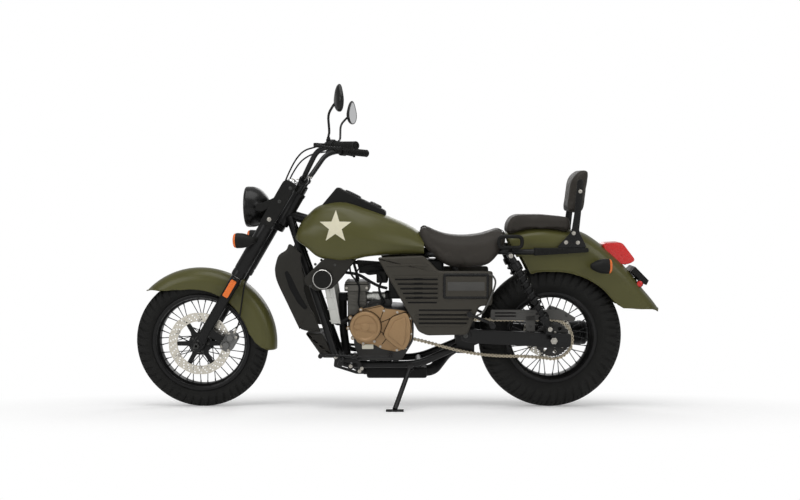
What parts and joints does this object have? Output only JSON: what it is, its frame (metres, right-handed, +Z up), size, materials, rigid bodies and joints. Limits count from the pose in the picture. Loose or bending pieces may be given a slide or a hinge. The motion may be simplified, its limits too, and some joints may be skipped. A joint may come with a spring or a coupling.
{
  "type": "motorcycle",
  "caption": "Cruiser motorcycle with spoked wheels, wide bar, dished saddle, pillion pad and small backrest, leaning on its side stand.",
  "frame": {"origin": "middle of the machine's box seen from above, on the floor, with the machine leaning 8 degrees to its left onto the side stand", "axes": "+X towards the rear wheel, +Y towards the rider's right, +Z up"},
  "size_m": [2.3133, 0.8156, 1.4096],
  "materials": {
    "tyre_rubber": "matte",
    "wheel_black": "gloss",
    "disc_steel": "satin",
    "chain_steel": "satin",
    "axle_steel": "satin",
    "fork_black": "satin",
    "fork_chrome": "polished",
    "matte_black": "matte",
    "gloss_black": "gloss",
    "clear_lens": "gloss",
    "amber_lens": "gloss",
    "red_lens": "gloss",
    "olive_paint": "satin",
    "caliper_grey": "satin",
    "bar_black": "satin",
    "grip_rubber": "matte",
    "mirror_glass": "polished",
    "cable_black": "matte",
    "frame_black": "satin",
    "case_bronze": "satin",
    "cylinder_alloy": "matte",
    "radiator_alloy": "matte",
    "seat_vinyl": "matte",
    "cowl_plastic": "matte",
    "cover_plastic": "matte",
    "shock_black": "gloss",
    "guard_grey": "matte",
    "exhaust_black": "matte"
  },
  "bodies": {
    "chassis": {"frame": "frame_black", "engine_case": "case_bronze", "engine_covers": "case_bronze", "cylinder": "cylinder_alloy", "intake": "matte_black", "radiator": "radiator_alloy", "fuel_tank": "olive_paint", "tank_console": "matte_black", "rider_seat": "seat_vinyl", "pillion_seat": "seat_vinyl", "backrest_pad": "seat_vinyl", "backrest_frame": "matte_black", "side_cowls": "cowl_plastic", "side_covers": "cover_plastic", "rear_mudguard": "olive_paint", "mudguard_rails": "matte_black", "tail_light": "red_lens", "plate_bracket": "matte_black", "rear_indicators": "matte_black", "rear_lenses": "amber_lens", "swingarm": "frame_black", "rear_axle": "axle_steel", "shocks": "shock_black", "chain": "chain_steel", "chain_guard": "guard_grey", "rear_caliper": "caliper_grey", "exhaust": "exhaust_black", "footpegs": "bar_black", "foot_controls": "bar_black"},
    "steering": {"front_axle": "axle_steel", "fork_sliders": "fork_black", "fork_tubes": "fork_chrome", "fork_shrouds": "fork_black", "fork_yokes": "fork_black", "fork_plates": "matte_black", "headlight": "gloss_black", "headlight_lens": "clear_lens", "front_indicators": "matte_black", "amber_lenses": "amber_lens", "front_mudguard": "olive_paint", "front_caliper": "caliper_grey", "handlebar": "bar_black", "grips": "grip_rubber", "hand_controls": "matte_black", "mirrors": "gloss_black", "mirror_glasses": "mirror_glass", "control_cables": "cable_black"},
    "front_wheel": {"front_tyre": "tyre_rubber", "front_rim": "wheel_black", "front_disc": "disc_steel"},
    "rear_wheel": {"rear_tyre": "tyre_rubber", "rear_rim": "wheel_black", "rear_disc": "disc_steel", "rear_sprocket": "chain_steel"},
    "side_stand": {"side_stand": "frame_black"}
  },
  "joints": [
    {"name": "steering", "type": "hinge", "parent": "chassis", "child": "steering", "pos_m": [-0.46813, 0.04159, 0.86191], "axis": [0.515, -0.1193, 0.8488], "range_deg": [-35, 35]},
    {"name": "front_wheel_spin", "type": "hinge", "parent": "steering", "child": "front_wheel", "pos_m": [-0.86466, 0.12209, 0.28916], "axis": [0, 0.9903, 0.1392], "continuous": true},
    {"name": "rear_wheel_spin", "type": "hinge", "parent": "chassis", "child": "rear_wheel", "pos_m": [0.68034, 0.11861, 0.31391], "axis": [0, 0.9903, 0.1392], "continuous": true},
    {"name": "stand_fold", "type": "hinge", "parent": "chassis", "child": "side_stand", "pos_m": [0.06034, 0.00418, 0.17968], "axis": [-0.0973, -0.7503, 0.6539], "range_deg": [0, 104]}
  ]
}
